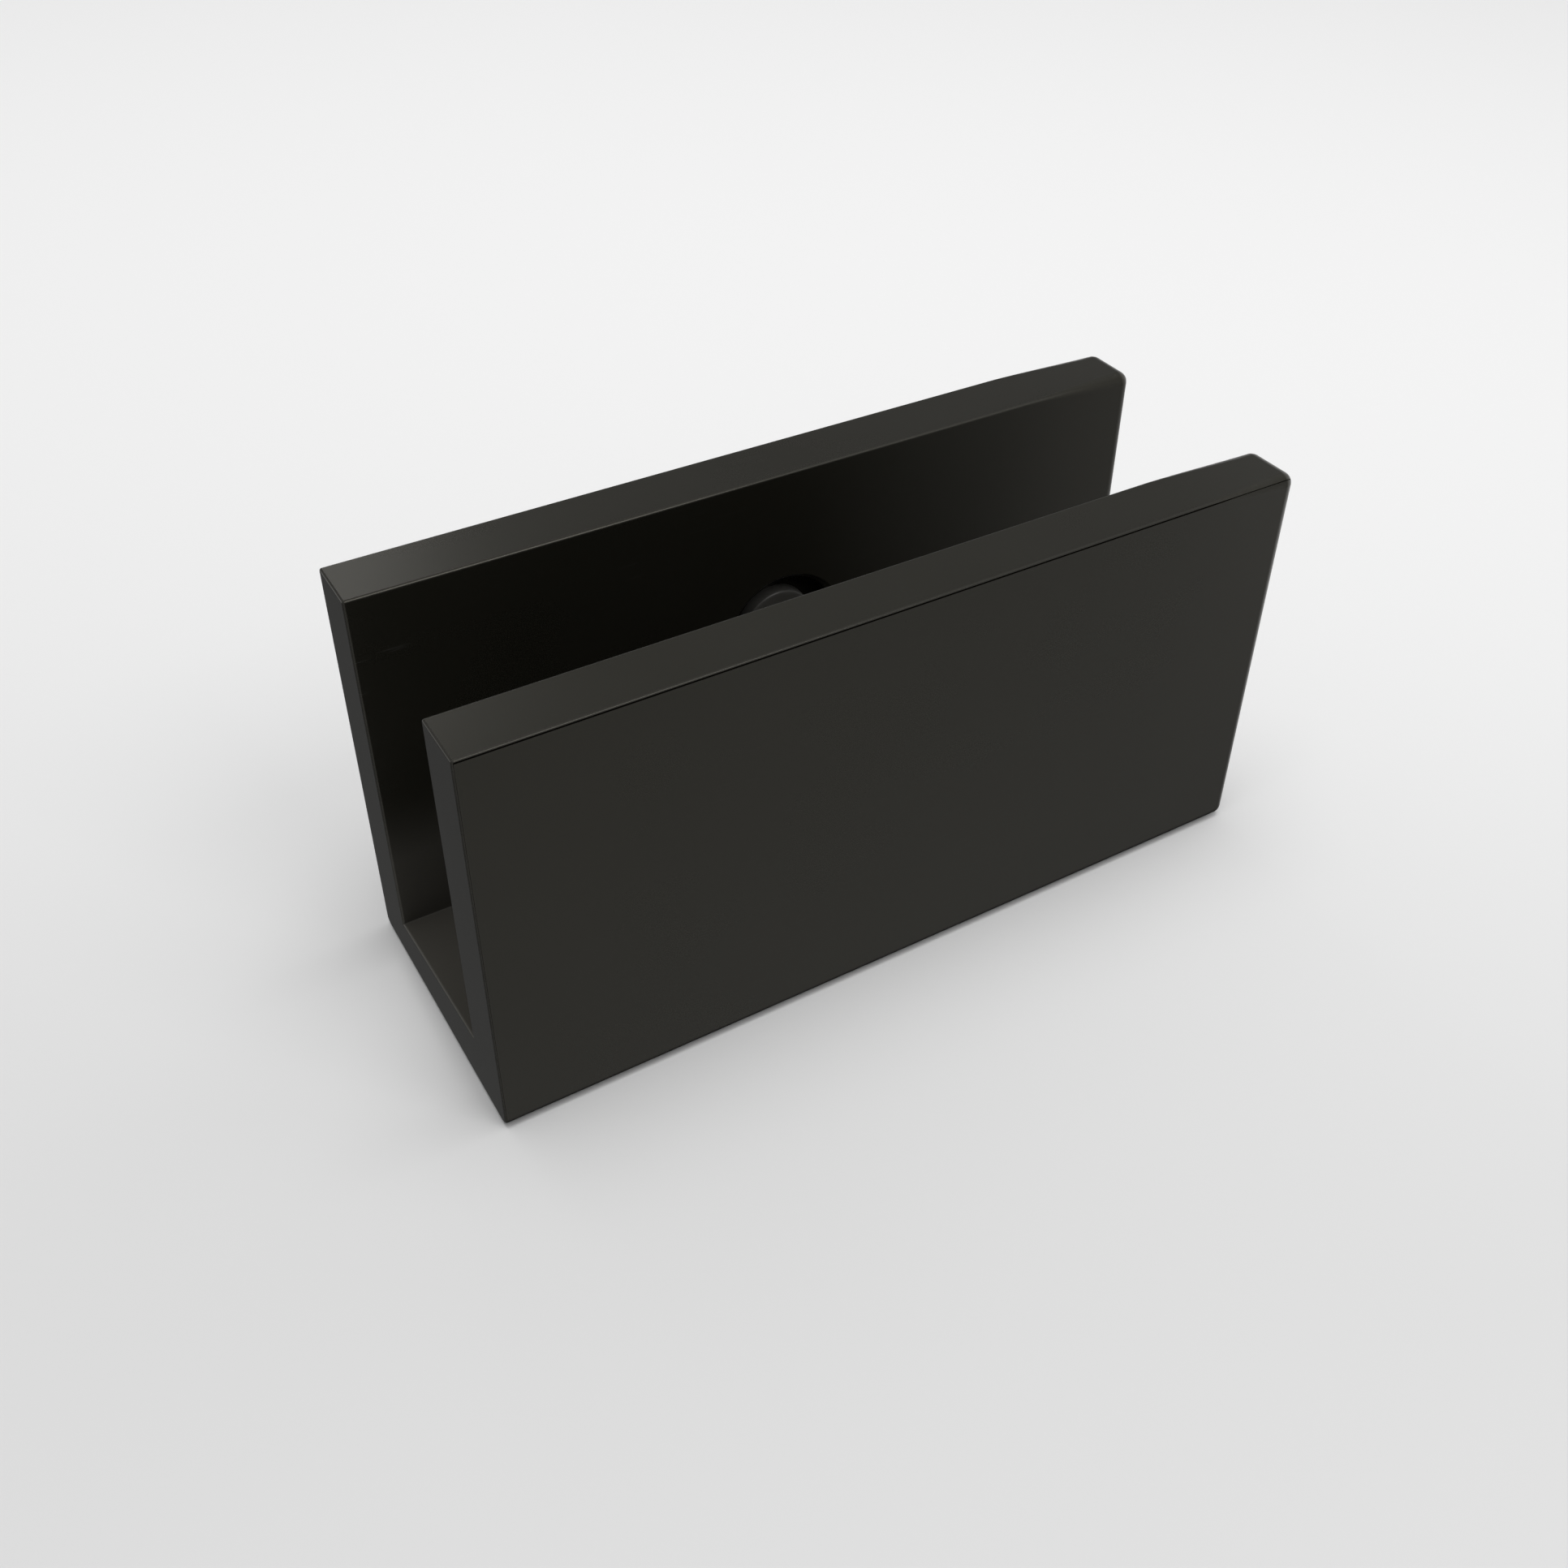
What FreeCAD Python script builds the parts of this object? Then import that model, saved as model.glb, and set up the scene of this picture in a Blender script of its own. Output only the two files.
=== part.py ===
import FreeCAD, Part
import os

# Open-topped napkin dispenser: two thick upright walls on a floor, open at both ends.
# The black shell is one moulding. Each wall is hollow and closed by an outer panel,
# mitred into the shell and held by one screw from the slot side. The screw's head sits
# in a round recess under a snap-on cap. A cover closes the underside of the floor. It
# carries a steel ballast bar and the rubber feet.
# Millimetres. X runs along the dispenser, the front is at -Y and Z is up.
# The origin is under the middle of the dispenser, on the plane that the feet stand on.

# Overall sizes of the shell
LENGTH = 177.8
WIDTH = 63.3
SHELL_HEIGHT = 88.5
WALL = 12.7

# The floor falls towards the back wall, so that the stack leans on it
FLOOR_FRONT = WALL
FLOOR_BACK = 9.6

# Edges. The long top edges are crisp, and grow rounder over the last stretch at the right end.
TOP_OUTER_ROUND = 0.25
TOP_INNER_ROUND = 0.5
BOTTOM_ROUND = 1.8
LEFT_END_ROUND = 0.5
RIGHT_END_ROUND = 2.4
SOFT_STRETCH = 28.0

# Hollow inside of the moulding
SKIN = 2.8
WEB = 2.0
RIB = 1.8
RIB_PLACES = (0.3, 0.5, 0.88)
BOSS_LENGTH = 8.0
BOSS_HEIGHT = 17.0
BOSS_PLACES = (-0.68, 0.0, 0.68)

# Outer panels: how far the mitre starts from the shell's corner, and the joint's gaps
MITRE_SET = 0.3
PANEL_TOP_GAP = 0.2
PANEL_GAP = 0.08
PANEL_LAND = 0.15

# Underside cover
COVER = 2.4
COVER_GAP = 0.15
COVER_CORNER = 1.0

# Rubber feet
FOOT_RADIUS = 6.0
FOOT_PROUD = 0.8
FOOT_SUNK = 1.2
FOOT_GAP = 0.1
FOOT_ROUND = 0.4
FOOT_PLACE_X = 0.88
FOOT_PLACE_Y = 0.72

# Steel ballast bar on the cover
BALLAST_GAP = 0.4
BALLAST_LENGTH_SHARE = 0.85
BALLAST_SIDE_GAP = 1.5
BALLAST_ROUND = 2.0
BALLAST_SCREW_PLACE = 0.45

# Round recess on the slot side of each wall, with the panel's screw and its cap
RECESS_X = 1.0
RECESS_HEIGHT_SHARE = 0.577
RECESS_RADIUS = 12.4
RECESS_RIM = 1.1
RECESS_DEPTH = 5.2
RECESS_BACK = 2.0
RECESS_SURROUND = 2.0
CAP_RADIUS = 8.25
CAP_BELOW_FACE = 2.3
CAP_SHEET = 1.0
CAP_SKIRT = 1.25
CAP_ROUND = 0.5
CAP_GAP = 0.1
CAP_RING = 1.6
CAP_RING_HEIGHT = 1.2
PANEL_BOSS_RADIUS = 4.5
PANEL_SCREW_BITE = 3.8
PANEL_SCREW_END_GAP = 0.2

# Screws: shank radius, head radius and head height
COVER_SCREW = {"shank": 1.5, "head": 3.0, "head_height": 1.5}
BALLAST_SCREW = {"shank": 2.0, "head": 3.8, "head_height": 1.8}
PANEL_SCREW = {"shank": 1.5, "head": 3.2, "head_height": 1.5}
COVER_SCREW_LENGTH = 14.0
SCREW_END_GAP = 0.5
SCREW_HOLE_GAP = 0.2
DRIVE_WIDTH = 0.8
DRIVE_DEPTH = 0.9
DRIVE_REACH = 0.55
HEAD_SUNK = 0.1
HEAD_ROUND = 0.5

# Worked out from the sizes above
HALF_LENGTH = LENGTH / 2
HALF_WIDTH = WIDTH / 2
SLOT_HALF = HALF_WIDTH - WALL
PANEL = SKIN - MITRE_SET
HOLLOW_HALF_LENGTH = HALF_LENGTH - SKIN
HOLLOW_FLOOR = COVER + WEB
HOLLOW_CEILING = SHELL_HEIGHT - SKIN
HOLLOW_INNER = SLOT_HALF + SKIN
HOLLOW_OUTER = HALF_WIDTH - PANEL
HOLLOW_MIDDLE = (HOLLOW_INNER + HOLLOW_OUTER) / 2
POCKET_HALF_WIDTH = HALF_WIDTH - SKIN
BALLAST_HEIGHT = FLOOR_BACK - SKIN - COVER - BALLAST_GAP
RECESS_Z = SHELL_HEIGHT * RECESS_HEIGHT_SHARE
RECESS_FLOOR = SLOT_HALF + RECESS_DEPTH
RECESS_BACK_FACE = RECESS_FLOOR + RECESS_BACK
CAP_INSIDE_RADIUS = CAP_RADIUS - CAP_SKIRT
SIDES = {"front": -1, "back": 1}

X_AXIS = FreeCAD.Vector(1, 0, 0)
Y_AXIS = FreeCAD.Vector(0, 1, 0)
Z_AXIS = FreeCAD.Vector(0, 0, 1)
OVERSHOOT = 1.0
TOUCH = 0.01


def block(x_range, y_range, z_range):
    """A box between three pairs of limits."""
    sizes = [high - low for low, high in (x_range, y_range, z_range)]
    corner = FreeCAD.Vector(x_range[0], y_range[0], z_range[0])
    return Part.makeBox(*sizes, corner)


def prism(points, path):
    """A straight prism on a closed outline."""
    return Part.Face(Part.makePolygon(points + points[:1])).extrude(path)


def bar_along_x(outline, half_length):
    """A prism along X with a (y, z) outline."""
    points = [FreeCAD.Vector(-half_length, y, z) for y, z in outline]
    return prism(points, X_AXIS * (2 * half_length))


def upright(outline, z_range):
    """A prism along Z with an (x, y) outline."""
    points = [FreeCAD.Vector(x, y, z_range[0]) for x, y in outline]
    return prism(points, Z_AXIS * (z_range[1] - z_range[0]))


def rounded_plate(half_x, half_y, z_range, corner):
    """A flat plate about the Z axis with rounded corners."""
    plate = block((-half_x, half_x), (-half_y, half_y), z_range)
    thickness = z_range[1] - z_range[0]
    uprights = [edge for edge in plate.Edges if edge.BoundBox.ZLength > thickness - TOUCH]
    return plate.makeFillet(corner, uprights)


def disc_on_z(radius, x, y, z_range):
    """A round piece on an upright axis."""
    return Part.makeCylinder(radius, z_range[1] - z_range[0], FreeCAD.Vector(x, y, z_range[0]), Z_AXIS)


def disc_on_y(side, radius, y_range):
    """A round piece on a recess's axis. The y range counts outwards from the middle."""
    start = FreeCAD.Vector(RECESS_X, side * y_range[0], RECESS_Z)
    return Part.makeCylinder(radius, y_range[1] - y_range[0], start, Y_AXIS * side)


def wall_span(side, low, high):
    """Limits in Y that count outwards from the middle."""
    return sorted((side * low, side * high))


def pick_edges(solid, test):
    return [edge for edge in solid.Edges if test(edge.BoundBox)]


def floor_height(y):
    """Height of the floor above the shell's lower edge."""
    share = (y + SLOT_HALF) / (2 * SLOT_HALF)
    return FLOOR_FRONT + (FLOOR_BACK - FLOOR_FRONT) * share


def cover_screw_places():
    return [
        (share * HOLLOW_HALF_LENGTH, side * HOLLOW_MIDDLE)
        for side in SIDES.values()
        for share in BOSS_PLACES
    ]


def ballast_screw_places():
    return [(end * BALLAST_SCREW_PLACE * HALF_LENGTH, 0.0) for end in (-1, 1)]


def foot_places():
    x = FOOT_PLACE_X * HOLLOW_HALF_LENGTH
    y = FOOT_PLACE_Y * POCKET_HALF_WIDTH
    return {
        "front_left": (-x, -y),
        "front_right": (x, -y),
        "back_left": (-x, y),
        "back_right": (x, y),
    }


def u_block(x_limits):
    """A stretch of the U-shaped block, rounded along the bottom."""
    outline = [
        (-HALF_WIDTH, 0),
        (HALF_WIDTH, 0),
        (HALF_WIDTH, SHELL_HEIGHT),
        (SLOT_HALF, SHELL_HEIGHT),
        (SLOT_HALF, FLOOR_BACK),
        (-SLOT_HALF, FLOOR_FRONT),
        (-SLOT_HALF, SHELL_HEIGHT),
        (-HALF_WIDTH, SHELL_HEIGHT),
    ]
    points = [FreeCAD.Vector(x_limits[0], y, z) for y, z in outline]
    form = prism(points, X_AXIS * (x_limits[1] - x_limits[0]))
    return form.makeFillet(BOTTOM_ROUND, pick_edges(form, lambda b: b.XLength > TOUCH and b.ZMax < TOUCH))


def round_top_edge(form, y, left_radius, right_radius):
    """Rounds the long top edge at one y, with a radius that changes evenly from left to right."""
    edge = pick_edges(
        form,
        lambda b: b.XLength > TOUCH and b.ZMin > SHELL_HEIGHT - TOUCH and abs(b.Center.y - y) < TOUCH,
    )[0]
    radii = [left_radius, right_radius]
    if edge.Vertexes[0].X > edge.Vertexes[-1].X:
        radii.reverse()
    return form.makeFillet(*radii, [edge])


def outer_form():
    """The solid U block with its rounded edges."""
    soft_start = HALF_LENGTH - SOFT_STRETCH
    crisp = u_block((-HALF_LENGTH, soft_start))
    soft = u_block((soft_start, HALF_LENGTH))
    for side in SIDES.values():
        for y, radius in ((side * HALF_WIDTH, TOP_OUTER_ROUND), (side * SLOT_HALF, TOP_INNER_ROUND)):
            crisp = round_top_edge(crisp, y, radius, radius)
            soft = round_top_edge(soft, y, radius, RIGHT_END_ROUND)
    crisp = crisp.makeFillet(LEFT_END_ROUND, pick_edges(crisp, lambda b: b.XMax < TOUCH - HALF_LENGTH))
    soft = soft.makeFillet(RIGHT_END_ROUND, pick_edges(soft, lambda b: b.XMin > HALF_LENGTH - TOUCH))
    return crisp.fuse(soft).removeSplitter()


def mitred_block(side, top_set, other_set, land):
    """The space of an outer panel, with faces at 45 degrees that start in from the corners."""
    out = HALF_WIDTH + OVERSHOOT
    deep = HOLLOW_OUTER
    top = SHELL_HEIGHT - top_set
    across = [
        (side * out, other_set - OVERSHOOT),
        (side * out, top - land),
        (side * (HALF_WIDTH - land), top - land),
        (side * deep, top - PANEL),
        (side * deep, other_set + PANEL),
    ]
    end = HALF_LENGTH - other_set
    along = [
        (-end - OVERSHOOT, side * out),
        (end + OVERSHOOT, side * out),
        (end - PANEL, side * deep),
        (-end + PANEL, side * deep),
    ]
    height = (-OVERSHOOT, SHELL_HEIGHT + OVERSHOOT)
    return bar_along_x(across, HALF_LENGTH + OVERSHOOT).common(upright(along, height))


def wall_hollow(side):
    """The hollow of one wall, with its ribs and screw bosses left standing."""
    span = wall_span(side, HOLLOW_INNER, HOLLOW_OUTER)
    x_limits = (-HOLLOW_HALF_LENGTH, HOLLOW_HALF_LENGTH)
    hollow = block(x_limits, span, (HOLLOW_FLOOR, HOLLOW_CEILING))
    solids = [disc_on_y(side, recess_surround_radius(), (SLOT_HALF, RECESS_BACK_FACE))]
    for share in RIB_PLACES:
        for end in (-1, 1):
            x = end * share * HOLLOW_HALF_LENGTH
            solids.append(block((x - RIB / 2, x + RIB / 2), span, (HOLLOW_FLOOR, HOLLOW_CEILING)))
    for share in BOSS_PLACES:
        x = share * HOLLOW_HALF_LENGTH
        half = BOSS_LENGTH / 2
        solids.append(block((x - half, x + half), span, (COVER, COVER + BOSS_HEIGHT)))
    return hollow.cut(solids)


def recess_surround_radius():
    return RECESS_RADIUS + RECESS_RIM + RECESS_SURROUND


def underside_hollow():
    """The pocket for the cover and the space for the ballast under the floor."""
    pocket = block(
        (-HOLLOW_HALF_LENGTH, HOLLOW_HALF_LENGTH),
        (-POCKET_HALF_WIDTH, POCKET_HALF_WIDTH),
        (-OVERSHOOT, COVER),
    )
    outline = [
        (-SLOT_HALF, COVER),
        (SLOT_HALF, COVER),
        (SLOT_HALF, FLOOR_BACK - SKIN),
        (-SLOT_HALF, FLOOR_FRONT - SKIN),
    ]
    return pocket.fuse(bar_along_x(outline, HOLLOW_HALF_LENGTH))


def recess_cut(side):
    """The round recess with its chamfered rim, the ring left for the cap and the screw's hole."""
    rim_place = FreeCAD.Vector(RECESS_X, side * SLOT_HALF, RECESS_Z)
    rim = Part.makeCone(RECESS_RADIUS + RECESS_RIM, RECESS_RADIUS, RECESS_RIM, rim_place, Y_AXIS * side)
    bowl = disc_on_y(side, RECESS_RADIUS, (SLOT_HALF - OVERSHOOT, RECESS_FLOOR))
    ring_radius = CAP_INSIDE_RADIUS - CAP_GAP
    ring_span = (RECESS_FLOOR - CAP_RING_HEIGHT, RECESS_FLOOR)
    ring = disc_on_y(side, ring_radius, ring_span).cut(disc_on_y(side, ring_radius - CAP_RING, ring_span))
    hole_radius = PANEL_SCREW["shank"] + SCREW_HOLE_GAP
    hole = disc_on_y(side, hole_radius, (SLOT_HALF, RECESS_BACK_FACE + OVERSHOOT))
    return rim.fuse(bowl).cut(ring).fuse(hole)


def shell(form):
    """The moulding: the outer form less its hollows, recesses and screw holes."""
    pilot_top = COVER_SCREW_LENGTH + SCREW_END_GAP
    cuts = [
        disc_on_z(COVER_SCREW["shank"], x, y, (COVER - OVERSHOOT, pilot_top))
        for x, y in cover_screw_places()
    ]
    cuts.append(underside_hollow())
    for side in SIDES.values():
        cuts += [wall_hollow(side), mitred_block(side, MITRE_SET, MITRE_SET, 0), recess_cut(side)]
    return form.cut(cuts)


def outer_panel(side, form):
    """A wall's outer face, with the boss that its screw bites into."""
    room = mitred_block(side, MITRE_SET + PANEL_TOP_GAP, MITRE_SET + PANEL_GAP, PANEL_LAND)
    plate = form.common(room)
    boss = disc_on_y(side, PANEL_BOSS_RADIUS, (RECESS_BACK_FACE, HOLLOW_OUTER))
    bite_end = RECESS_BACK_FACE + PANEL_SCREW_BITE + PANEL_SCREW_END_GAP
    pilot = disc_on_y(side, PANEL_SCREW["shank"], (RECESS_BACK_FACE - OVERSHOOT, bite_end))
    return plate.fuse(boss).cut(pilot).removeSplitter()


def panel_screw(side):
    """A pan-head screw whose head sits on the recess's floor."""
    head_span = (RECESS_FLOOR - PANEL_SCREW["head_height"], RECESS_FLOOR)
    head = disc_on_y(side, PANEL_SCREW["head"], head_span)
    top = side * head_span[0]
    head = head.makeFillet(HEAD_ROUND, pick_edges(head, lambda b: abs(b.Center.y - top) < TOUCH))
    shank_span = (RECESS_FLOOR - OVERSHOOT, RECESS_BACK_FACE + PANEL_SCREW_BITE)
    screw = head.fuse(disc_on_y(side, PANEL_SCREW["shank"], shank_span))
    reach = PANEL_SCREW["head"] * DRIVE_REACH
    half = DRIVE_WIDTH / 2
    depth = wall_span(side, head_span[0] - OVERSHOOT, head_span[0] + DRIVE_DEPTH)
    level = block((RECESS_X - reach, RECESS_X + reach), depth, (RECESS_Z - half, RECESS_Z + half))
    plumb = block((RECESS_X - half, RECESS_X + half), depth, (RECESS_Z - reach, RECESS_Z + reach))
    return screw.cut([level, plumb])


def screw_cap(side):
    """A shallow cap that snaps over the ring on the recess's floor."""
    face = SLOT_HALF + CAP_BELOW_FACE
    disc = disc_on_y(side, CAP_RADIUS, (face, RECESS_FLOOR))
    rim = pick_edges(disc, lambda b: abs(b.Center.y - side * face) < TOUCH)
    inside = disc_on_y(side, CAP_INSIDE_RADIUS, (face + CAP_SHEET, RECESS_FLOOR + OVERSHOOT))
    return disc.makeFillet(CAP_ROUND, rim).cut(inside)


def countersunk(screw, x, y, length):
    """The outside of a countersunk screw that points up from the cover's underside."""
    place = FreeCAD.Vector(x, y, HEAD_SUNK)
    head = Part.makeCone(screw["head"], screw["shank"], screw["head_height"], place, Z_AXIS)
    return head.fuse(disc_on_z(screw["shank"], x, y, (HEAD_SUNK, length)))


def countersunk_hole(screw, x, y):
    """The hole that a countersunk screw passes through in the cover."""
    mouth = disc_on_z(screw["head"], x, y, (-OVERSHOOT, HEAD_SUNK))
    return countersunk(screw, x, y, COVER + OVERSHOOT).fuse(mouth)


def cross_drive(screw, x, y):
    """Two crossed slots in a screw's head."""
    reach = screw["head"] * DRIVE_REACH
    half = DRIVE_WIDTH / 2
    depth = (-OVERSHOOT, HEAD_SUNK + DRIVE_DEPTH)
    along = block((x - reach, x + reach), (y - half, y + half), depth)
    across = block((x - half, x + half), (y - reach, y + reach), depth)
    return along.fuse(across)


def screw_group(screw, places, length):
    """Identical screws as separate solids of one node."""
    return Part.Compound([
        countersunk(screw, x, y, length).cut(cross_drive(screw, x, y))
        for x, y in places
    ])


def base_cover():
    plate = rounded_plate(
        HOLLOW_HALF_LENGTH - COVER_GAP,
        POCKET_HALF_WIDTH - COVER_GAP,
        (0, COVER),
        COVER_CORNER,
    )
    holes = [countersunk_hole(COVER_SCREW, x, y) for x, y in cover_screw_places()]
    holes += [countersunk_hole(BALLAST_SCREW, x, y) for x, y in ballast_screw_places()]
    holes += [
        disc_on_z(FOOT_RADIUS + FOOT_GAP, x, y, (-OVERSHOOT, FOOT_SUNK))
        for x, y in foot_places().values()
    ]
    return plate.cut(holes)


def ballast_bar():
    height = (COVER, COVER + BALLAST_HEIGHT)
    bar = rounded_plate(
        BALLAST_LENGTH_SHARE * HOLLOW_HALF_LENGTH,
        SLOT_HALF - BALLAST_SIDE_GAP,
        height,
        BALLAST_ROUND,
    )
    return bar.cut([disc_on_z(BALLAST_SCREW["shank"], x, y, height) for x, y in ballast_screw_places()])


def foot(x, y):
    """A rubber disc, glued into its pocket in the cover."""
    disc = disc_on_z(FOOT_RADIUS, x, y, (-FOOT_PROUD, FOOT_SUNK))
    return disc.makeFillet(FOOT_ROUND, pick_edges(disc, lambda b: b.ZMax < TOUCH - FOOT_PROUD))


def build_parts():
    """Every sub-part by node name, with the shell's lower edge at z = 0."""
    ballast_screw_length = COVER + BALLAST_HEIGHT - SCREW_END_GAP
    form = outer_form()
    parts = {
        "shell": shell(form),
        "base_cover": base_cover(),
        "ballast_bar": ballast_bar(),
        "ballast_screws": screw_group(BALLAST_SCREW, ballast_screw_places(), ballast_screw_length),
        "cover_screws": screw_group(COVER_SCREW, cover_screw_places(), COVER_SCREW_LENGTH),
    }
    for name, side in SIDES.items():
        parts[name + "_panel"] = outer_panel(side, form)
        parts[name + "_panel_screw"] = panel_screw(side)
        parts[name + "_screw_cap"] = screw_cap(side)
    for corner, place in foot_places().items():
        parts["foot_" + corner] = foot(*place)
    return parts


def main():
    os.makedirs("parts", exist_ok=True)
    for node, shape in build_parts().items():
        shape.translate(Z_AXIS * FOOT_PROUD)
        shape.exportStep("parts/" + node + ".step")
        box = shape.BoundBox
        sizes = [round(size, 2) for size in (box.XLength, box.YLength, box.ZLength)]
        print(node, "valid", shape.isValid(), "solids", len(shape.Solids), "size", sizes)


main()
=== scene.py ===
"""Finishes, small fittings and a plain stage for a moulded napkin dispenser."""

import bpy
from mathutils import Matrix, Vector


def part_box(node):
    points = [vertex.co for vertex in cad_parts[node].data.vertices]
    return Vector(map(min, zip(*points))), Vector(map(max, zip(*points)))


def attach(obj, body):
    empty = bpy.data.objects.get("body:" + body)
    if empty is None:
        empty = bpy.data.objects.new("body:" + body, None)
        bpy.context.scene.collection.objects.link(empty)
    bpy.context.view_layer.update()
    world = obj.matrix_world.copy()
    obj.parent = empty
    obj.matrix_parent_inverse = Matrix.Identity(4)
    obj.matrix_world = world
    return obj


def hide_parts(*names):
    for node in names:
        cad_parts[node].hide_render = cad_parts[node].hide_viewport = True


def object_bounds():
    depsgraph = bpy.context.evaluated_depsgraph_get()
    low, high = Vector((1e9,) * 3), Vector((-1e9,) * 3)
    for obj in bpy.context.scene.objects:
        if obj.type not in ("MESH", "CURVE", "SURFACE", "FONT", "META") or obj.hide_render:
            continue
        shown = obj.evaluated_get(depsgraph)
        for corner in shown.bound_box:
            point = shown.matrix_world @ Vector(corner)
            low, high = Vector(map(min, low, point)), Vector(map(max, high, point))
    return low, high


bl_info = {
    "name": "Napkin Dispenser",
    "version": (1, 0, 0),
    "blender": (4, 5, 0),
    "location": "3D Viewport > Sidebar > Dispenser",
    "description": "Satin moulding, screw caps, screws, rubber feet and a plain stage",
    "category": "Object",
}

import math

import bmesh
import bpy
from bpy.props import FloatProperty, FloatVectorProperty, IntProperty, PointerProperty
from mathutils import Euler, Matrix, Vector

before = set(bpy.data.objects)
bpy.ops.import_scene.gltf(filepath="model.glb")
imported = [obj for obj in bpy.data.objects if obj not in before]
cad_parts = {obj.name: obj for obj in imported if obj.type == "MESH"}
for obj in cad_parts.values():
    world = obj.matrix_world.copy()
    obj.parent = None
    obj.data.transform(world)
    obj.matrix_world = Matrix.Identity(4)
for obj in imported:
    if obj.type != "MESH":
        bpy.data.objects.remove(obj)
CAD_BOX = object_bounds()

# Everything is in metres. X runs along the dispenser, its front is at -Y and Z is up.
MM = 0.001
BODY = "root"

# The shell and the slot between its walls. The slot's floor falls from the front wall to the back wall.
SHELL_LOW, SHELL_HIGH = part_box("shell")
HALF_LENGTH = CAD_BOX[1].x
HALF_WIDTH = CAD_BOX[1].y
WALL = 12.7 * MM
SLOT_HALF = HALF_WIDTH - WALL
FLOOR_FRONT = 12.7 * MM
FLOOR_BACK = 9.6 * MM

# Meshes
MERGE = 0.001 * MM
SHARP_ANGLE = math.radians(35)
ROUND_STEPS = 72
CORNER_STEPS = 4

# The screws by node: their sizes, and their places as shares of the node's reach
SCREWS = {
    "cover_screws": {
        "head": 3.0 * MM,
        "shank": 1.5 * MM,
        "head_height": 1.5 * MM,
        "columns": (-1, 0, 1),
        "rows": (-1, 1),
    },
    "ballast_screws": {
        "head": 3.8 * MM,
        "shank": 2.0 * MM,
        "head_height": 1.8 * MM,
        "columns": (-1, 1),
        "rows": (0,),
    },
}

# A screw's cross drive as shares of its head, and its head's chamfer
CROSS_ARM_SHARE = 0.58
CROSS_WIDTH_SHARE = 0.26
CROSS_DEPTH_SHARE = 0.62
CROSS_TAPER = 0.45
HEAD_CHAMFER = 0.12 * MM
HEAD_CHAMFER_HEIGHT = 0.1 * MM

# A screw's thread and point as shares of its shank, and where the root lies in a pitch
THREAD_PITCH = 0.9 * MM
THREAD_ROOT_SHARE = 0.82
THREAD_ROOT_AT = 0.75
POINT_LENGTH_SHARE = 0.6
POINT_END_SHARE = 0.5

# A screw cap, with its dish as shares of its radius
CAP_ROUND = 0.5 * MM
CAP_SHEET = 1.0 * MM
CAP_SKIRT = 1.25 * MM
DISH_RIM_SHARE = 0.86
DISH_FLOOR_SHARE = 0.8

# A foot, with its grooves as shares of their pitch and their slopes as a share of a groove
FOOT_ROUND = 0.4 * MM
GROOVE_WIDTH_SHARE = 0.45
GROOVE_START_SHARE = 0.75
GROOVE_SLOPE_SHARE = 0.25

# The camera's turn is in degrees: pitch, roll and heading
CAMERA_PLACE = (-0.1462, -0.2275, 0.2530)
CAMERA_TURN = (51.75, -0.63, -30.96)
CAMERA_SHIFT = (-0.0086, -0.0381)

WINDOW_PLACE = (0.12, 1.015, 0.74)
WINDOW_SIZE = 0.16
KEY_PLACE = (0.2, -0.65, 0.85)
KEY_SIZE = 0.45
OVERHEAD_PLACE = (-0.1, -0.12, 2.3)
OVERHEAD_SIZE = 1.4

# The sky's tones change between these values of a direction's parts
UNDER_BAND = (-0.05, 0.15)
BACK_BAND = (-0.62, -0.2)
LOW_BAND = (-0.35, 0.25)
HIGH_BAND = (0.4, 0.9)
HORIZON_RISE = -0.05
HORIZON_BAND = (0.3, 0.15)
BEHIND_BAND = (0.2, 0.6)
SIDE_BAND = (0.68, 0.85)

# The stage paper's colour is painted paler along this heading, as painted shading that darkens the floor
# towards the front. The gradient is fixed to the sheet.
PAPER_HEADING = math.radians(CAMERA_TURN[2])
PAPER_START = 0.27
PAPER_REACH = 0.1
PAPER_FALL = 0.25
PAPER_TOOTH = 700.0
PAPER_TOOTH_TINT = 0.03
PAPER_TOOTH_DEPTH = 0.05 * MM

# The Texture Coordinate node's outputs by number
OBJECT_COORDINATES = 3
SKY_DIRECTION = 0

# Noise scales of the moulding, in blobs per metre, and how its smears are turned and stretched
MOULDING_CLOUDS = 22.0
MOULDING_SMEARS = 70.0
MOULDING_RIPPLES = 900.0
FINE_GRIT = 5200.0
WEAR_RAGS = 600.0
SMEAR_TURN = (0, 0, 0.2)
SMEAR_STRETCH = (0.3, 1.0, 1.0)

# The moulding's scratches: two turns, each with its fineness and rarity, broken up into patches
SCRATCH_STRETCH = (0.04, 1.0, 1.0)
SCRATCH_PATCHES = 38.0
SCRATCH_PATCH_BAND = (0.5, 0.62)
SCRATCH_SOFTNESS = 0.03
SCRATCH_SETS = (
    ((0.35, 0.5, 0.1), 1500.0, 0.7),
    ((-0.5, 0.9, 0.3), 1900.0, 0.72),
)

# The slot's own marks: how softly they end at its sides, how much of the scratches and dust the rest of
# the moulding gets, the limit and unevenness of the painted light low in the slot, and where the rougher
# finish starts and is full
SLOT_EDGE = 0.6 * MM
HANDLED_LEAST = 0.1
PAINTED_LIGHT_LIMIT = 0.5
PAINTED_LIGHT_LEAST = 0.75
PAINTED_LIGHT_CLOUDS = 0.5
RUBBED_START = -0.25 * HALF_LENGTH
RUBBED_END = 0.5 * HALF_LENGTH

# How much paler the moulding is in clouds, on worn edges and in marks
CLOUD_PALER = 0.004
WEAR_PALER = 0.035
MARK_PALER = 0.05

# How strongly each pattern tints the moulding
WEAR_TINT = 0.35
MARK_TINT = 0.4
DUST_TINT = 0.5

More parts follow.
